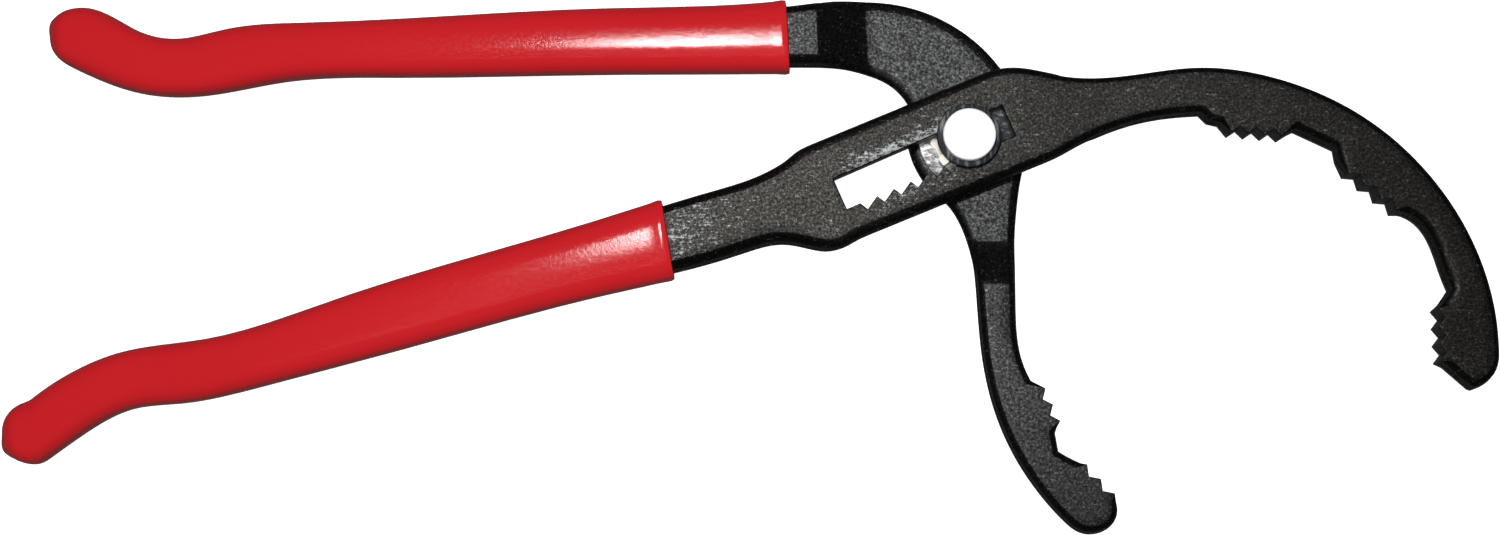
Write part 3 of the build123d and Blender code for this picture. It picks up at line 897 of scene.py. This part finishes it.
class PLIERS_OT_pivot(bpy.types.Operator):
    """Bolt, both washers and the nut of the pivot"""
    bl_idname = "pliers.pivot"
    bl_label = "Pivot hardware"

    def execute(self, context):
        sizes = context.scene.pliers_hardware
        count = sizes.turns
        (_, _, low), (reach, _, high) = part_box("pivot_bolt")
        shank = node_arrays("pivot_nut")[0]
        shank = np.hypot(shank[:, 0], shank[:, 1]).min()
        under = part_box("head_washer")[1].z
        r = sizes.head_round
        rim = [(reach - r + r * sin(a), high - r + r * cos(a)) for a in np.linspace(0, pi / 2, 6)]
        top = [(0, high), (0.5 * reach, high), (reach - 1.5 * r, high)]
        chamfer = sizes.shank_chamfer
        profile = top + rim + [(reach, under), (shank, under), (shank, low + chamfer),
                               (shank - chamfer, low), (0, low)]
        # painted highlight: the bolt head's near-white, non-metallic colour stands in for the glare off its
        # face
        make_piece("bolt", turned(profile, count), strip_faces(len(profile), count, 0), "pivot_carriage",
                   "bright_steel", ("pivot_bolt",),
                   machined("bolt_head_painted_highlight", "fefefe", 0.5, 0.0, 0.3 * MM, 0.02))
        dark = machined("oil_blackened_washer", "2a3036", 0.45, 0.6, 0.4 * MM, 0.3)
        for name, node in (("washer_under_head", "head_washer"), ("washer_under_nut", "back_washer")):
            places = node_arrays(node)[0]
            radius = np.hypot(places[:, 0], places[:, 1])
            ring = rounded_ring(radius.min(), radius.max(), places[:, 2].min(), places[:, 2].max(),
                                sizes.washer_round)
            make_piece(name, turned(ring, count), strip_faces(len(ring), count, 0, True),
                       "pivot_carriage", "dark_washer", (node,), dark)
        (_, side, low), (_, _, high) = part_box("pivot_nut")
        places, faces = hexagon_nut(shank, -2 * side, low, high)
        make_piece("hex_nut", places, faces, "pivot_carriage", "dark_washer", ("pivot_nut",),
                   machined("oil_blackened_nut", "3a3e44", 0.4, 0.8, 0.0, 0.3))
        return {"FINISHED"}


class PLIERS_OT_key(bpy.types.Operator):
    """Hardened key that drops into the rack"""
    bl_idname = "pliers.key"
    bl_label = "Locking key"

    def execute(self, context):
        places, corners = node_arrays("locking_key")
        # the key's cream near-white colour is partly its worn bare steel and partly a painted glint
        key = make_piece("rack_key", places, corners.tolist(), "hub_body", "key_steel", ("locking_key",),
                         machined("hardened_key_steel_painted_glint", "f6efe2", 0.35, 0.1, 0.0, 0.05))
        bevel = key.modifiers.new("rims", "BEVEL")
        bevel.width, bevel.segments = context.scene.pliers_hardware.key_round, 2
        bevel.angle_limit = radians(50)
        return {"FINISHED"}


class PLIERS_OT_grips(bpy.types.Operator):
    """Dipped vinyl grips on both handles"""
    bl_idname = "pliers.grips"
    bl_label = "Grips"

    def execute(self, context):
        sizes = context.scene.pliers_grips
        vinyl = dipped_vinyl("dipped_red_vinyl", "cb2128")
        rows = (("upper_sleeve", "hub_arm", BACK_LEVEL, "upper_grip", "hub_body", radians(155)),
                ("lower_sleeve", "slotted_arm", FRONT_LEVEL, "lower_grip", "slotted_body", radians(212)))
        for name, arm, level, node, body, turn in rows:
            shape = (sizes.squareness, sizes.bead, sizes.drip, sizes.drip_width, turn)
            places, faces = grip_surface(arm, level, node, shape)
            make_piece(name, places, faces, body, "red_vinyl", (node,), vinyl, sharp=60)
        return {"FINISHED"}


class PLIERS_OT_stage(bpy.types.Operator):
    """Floor, lights and camera"""
    bl_idname = "pliers.stage"
    bl_label = "Stage"

    def execute(self, context):
        sizes = context.scene.pliers_stage
        scene = context.scene
        half, gap = 3.0, 0.2 * MM
        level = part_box("pivot_nut")[0].z - gap
        sheet = bpy.data.meshes.new("paper_floor")
        sheet.from_pydata([(-half, -half, level), (half, -half, level), (half, half, level),
                           (-half, half, level)], [], [(0, 1, 2, 3)])
        sheet.materials.append(lit_floor("white_paper_floor", sizes.floor_glow))
        floor = bpy.data.objects.new("paper_floor", sheet)
        scene.collection.objects.link(floor)
        floor.visible_glossy = floor.visible_diffuse = False

        world = scene.world or bpy.data.worlds.new("studio")
        scene.world = world
        world.use_nodes = True
        tree = world.node_tree
        backdrop = tree.nodes["Background"]
        low_glow, high_glow, fades_by = grey(0.11), grey(0.03), 0.06
        way = add(tree, "ShaderNodeSeparateXYZ", i0=add(tree, "ShaderNodeTexCoord").outputs["Generated"])
        glow = ramp(tree, way.outputs[2], [(0.0, low_glow), (fades_by, high_glow)])
        feed(tree, backdrop, Color=glow, Strength=1.0)

        back = Vector(sizes.offset).normalized()
        right = Vector((0, 1, 0)).cross(back).normalized()
        turn = Matrix((right, back.cross(right), back)).transposed().to_4x4()
        aim = Vector(sizes.aim)
        # name, place and size in mm, watts, seen in reflections
        lamps = (("soft_box", (-104, 120, 640), (100, 95), 1.05, True),
                 ("fill", (-60, -130, 850), (400, 400), 6.0, False))
        for name, spot, (wide, deep), power, glossy in lamps:
            lamp = bpy.data.lights.new(name, "AREA")
            lamp.shape, lamp.size, lamp.size_y, lamp.energy = "RECTANGLE", wide * MM, deep * MM, power
            lamp_object = bpy.data.objects.new(name, lamp)
            place = Vector(spot) * MM
            facing = (place - aim).to_track_quat("Z", "Y").to_matrix().to_4x4()
            lamp_object.matrix_world = Matrix.Translation(place) @ facing
            lamp_object.visible_glossy = glossy
            scene.collection.objects.link(lamp_object)

        camera = bpy.data.cameras.new("camera")
        camera.lens, camera.sensor_width, camera.clip_start = sizes.lens, 36.0, 0.01
        holder = bpy.data.objects.new("camera", camera)
        holder.matrix_world = Matrix.Translation(aim + Vector(sizes.offset)) @ turn
        scene.collection.objects.link(holder)
        scene.camera = holder
        scene.view_settings.view_transform = "Standard"
        return {"FINISHED"}


class PLIERS_PT_panel(bpy.types.Panel):
    """Lists the pieces and their sizes"""
    bl_label = "Oil filter pliers"
    bl_idname = "PLIERS_PT_panel"
    bl_space_type = "VIEW_3D"
    bl_region_type = "UI"
    bl_category = "Pliers"

    def draw(self, context):
        for settings, operators in GROUPS:
            box = self.layout.box()
            group = getattr(context.scene, settings)
            for name in group.__annotations__:
                box.prop(group, name)
            for operator in operators:
                box.operator(operator)


GROUPS = (
    ("pliers_forging", ("pliers.slotted_forging", "pliers.hub_forging")),
    ("pliers_hardware", ("pliers.pad", "pliers.pivot", "pliers.key")),
    ("pliers_grips", ("pliers.grips",)),
    ("pliers_stage", ("pliers.stage",)),
)
SETTINGS = {"pliers_forging": ForgingSettings, "pliers_grips": GripSettings,
            "pliers_hardware": HardwareSettings, "pliers_stage": StageSettings}
CLASSES = (*SETTINGS.values(), PLIERS_OT_slotted_forging, PLIERS_OT_hub_forging, PLIERS_OT_pad,
           PLIERS_OT_pivot, PLIERS_OT_key, PLIERS_OT_grips, PLIERS_OT_stage, PLIERS_PT_panel)


def register():
    """Registers the classes and hangs the settings on the scene."""
    for cls in CLASSES:
        bpy.utils.register_class(cls)
    for name, group in SETTINGS.items():
        setattr(bpy.types.Scene, name, PointerProperty(type=group))


def unregister():
    """Takes the settings and the classes away again."""
    for name in SETTINGS:
        delattr(bpy.types.Scene, name)
    for cls in reversed(CLASSES):
        bpy.utils.unregister_class(cls)


def main():
    """Builds every piece and the stage."""
    register()
    for _, operators in GROUPS:
        for operator in operators:
            group, name = operator.split(".")
            getattr(getattr(bpy.ops, group), name)()


if __name__ == "__main__":
    main()
